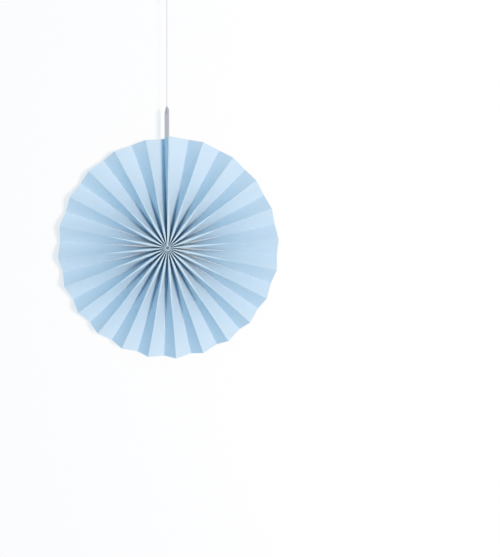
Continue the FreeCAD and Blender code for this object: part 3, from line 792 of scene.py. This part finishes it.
def make_backdrop_material(name):
    """Matt white, seen as near white, and only from its front, with a painted shadow behind the
    disc's middle.

    The camera sees it, straight or in a reflection. It stops none of the light on the object.
    """
    material, tree = new_material(name)
    ray = add(tree, "ShaderNodeLightPath")
    seen = add(tree, "ShaderNodeMath", {"operation": "MAXIMUM"},
               _0=ray.outputs["Is Camera Ray"], _1=ray.outputs["Is Glossy Ray"])
    seen = add(tree, "ShaderNodeMath", {"operation": "MAXIMUM"}, _0=seen.outputs[0],
               _1=ray.outputs["Is Transmission Ray"])
    front = add(tree, "ShaderNodeNewGeometry")
    facing = add(tree, "ShaderNodeMath", {"operation": "SUBTRACT"}, _0=seen.outputs[0],
                 _1=front.outputs["Backfacing"])
    facing = add(tree, "ShaderNodeMath", {"operation": "MAXIMUM"}, _0=facing.outputs[0], _1=0.0)
    matt = add(tree, "ShaderNodeBsdfDiffuse", Color=WALL_COLOUR)
    # White is added to what the lamp gives, but hardly any within 20 mm of the hub: a painted
    # shadow, standing in for the deep shadow behind the disc's middle
    place = add(tree, "ShaderNodeTexCoord").outputs["Object"]
    from_hub = add(tree, "ShaderNodeVectorMath", {"operation": "DISTANCE"}, _0=place,
                   _1=(HUB_X * MM, WALL_Y * MM, HUB_Z * MM))
    level = add(tree, "ShaderNodeMapRange", {"interpolation_type": "SMOOTHSTEP"},
                Value=from_hub.outputs["Value"], From_Min=20 * MM, From_Max=60 * MM,
                To_Min=0.06, To_Max=0.65)
    white = add(tree, "ShaderNodeEmission", Color=(1, 1, 1, 1), Strength=level.outputs[0])
    both = add(tree, "ShaderNodeAddShader", _0=matt.outputs[0], _1=white.outputs[0])
    clear = add(tree, "ShaderNodeBsdfTransparent")
    mix = add(tree, "ShaderNodeMixShader", _0=facing.outputs[0], _1=clear.outputs[0],
              _2=both.outputs[0])
    finish_material(tree, mix.outputs[0])
    return material


def make_plane(name, corners, material):
    mesh = bpy.data.meshes.new(name)
    mesh.from_pydata(corners, [], [(0, 1, 2, 3)])
    mesh.materials.append(material)
    plane = bpy.data.objects.new(name, mesh)
    bpy.context.collection.objects.link(plane)


def make_stage():
    """The wall and the floor, in metres. Seen from the front, the wall fills the view."""
    white = make_backdrop_material("matt white paint")
    wall_y, wall_side, wall_top = WALL_Y * MM, 1.5, 0.9
    floor_z, floor_side = -0.8, 2.5
    make_plane("wall", [(-wall_side, wall_y, floor_z), (wall_side, wall_y, floor_z),
                        (wall_side, wall_y, wall_top), (-wall_side, wall_y, wall_top)], white)
    make_plane("floor", [(-floor_side, -floor_side, floor_z), (floor_side, -floor_side, floor_z),
                         (floor_side, floor_side, floor_z), (-floor_side, floor_side, floor_z)],
               white)


def make_lamp(name, colour, azimuth, elevation, distance, size, level):
    """A square softbox aimed at the disc's centre, azimuth degrees to its right.

    Level is how bright it makes a white matt surface that faces it, where 1 is white.
    """
    data = bpy.data.lights.new(name, "AREA")
    data.size = size
    data.energy = level * math.pi ** 2 * distance ** 2
    data.color = colour
    lamp = bpy.data.objects.new(name, data)
    bpy.context.collection.objects.link(lamp)
    turn, rise = math.radians(azimuth), math.radians(elevation)
    lamp.location = (HUB_X * MM + distance * math.sin(turn) * math.cos(rise),
                     -distance * math.cos(turn) * math.cos(rise),
                     HUB_Z * MM + distance * math.sin(rise))
    lamp.rotation_euler = (math.pi / 2 - rise, 0, turn)


def make_world():
    """White to look at. It lights the object less from the front than from behind."""
    world = bpy.data.worlds.new("studio")
    bpy.context.scene.world = world
    world.use_nodes = True
    tree = world.node_tree
    tree.nodes.clear()
    way = add(tree, "ShaderNodeTexCoord").outputs["Generated"]
    way = add(tree, "ShaderNodeSeparateXYZ", Vector=way)
    behind = add(tree, "ShaderNodeMapRange", Value=way.outputs["Y"], From_Min=-0.2,
                 From_Max=0.3)
    colour = add(tree, "ShaderNodeMix", {"data_type": "RGBA"}, Factor=behind.outputs[0],
                 _6=FRONT_LIGHT, _7=BACK_LIGHT)
    light = add(tree, "ShaderNodeBackground", Color=colour.outputs[2], Strength=1.0)
    seen_white = add(tree, "ShaderNodeBackground", Color=(1, 1, 1, 1), Strength=1.0)
    ray = add(tree, "ShaderNodeLightPath")
    seen = add(tree, "ShaderNodeMath", {"operation": "MAXIMUM"},
               _0=ray.outputs["Is Camera Ray"], _1=ray.outputs["Is Glossy Ray"])
    seen = add(tree, "ShaderNodeMath", {"operation": "MAXIMUM"}, _0=seen.outputs[0],
               _1=ray.outputs["Is Transmission Ray"])
    mix = add(tree, "ShaderNodeMixShader", _0=seen.outputs[0], _1=light.outputs[0],
              _2=seen_white.outputs[0])
    add(tree, "ShaderNodeOutputWorld", Surface=mix.outputs[0])


thread_material = make_thread_material()
make_hanging_thread(thread_material)
for name in ("tab_loop", "hang_loop", "binding_thread"):
    paint(name, thread_material)
card_material = make_card_material()
for name in ("right_card_strip", "left_card_strip"):
    paint(name, card_material)
paint("adhesive_tape", make_tape_material())
make_sheet(make_paper_material())

make_stage()
make_world()
make_lamp("key", LAMP_COLOUR, azimuth=25, elevation=0, distance=3, size=0.5, level=0.735)
bpy.context.scene.view_settings.view_transform = "Standard"
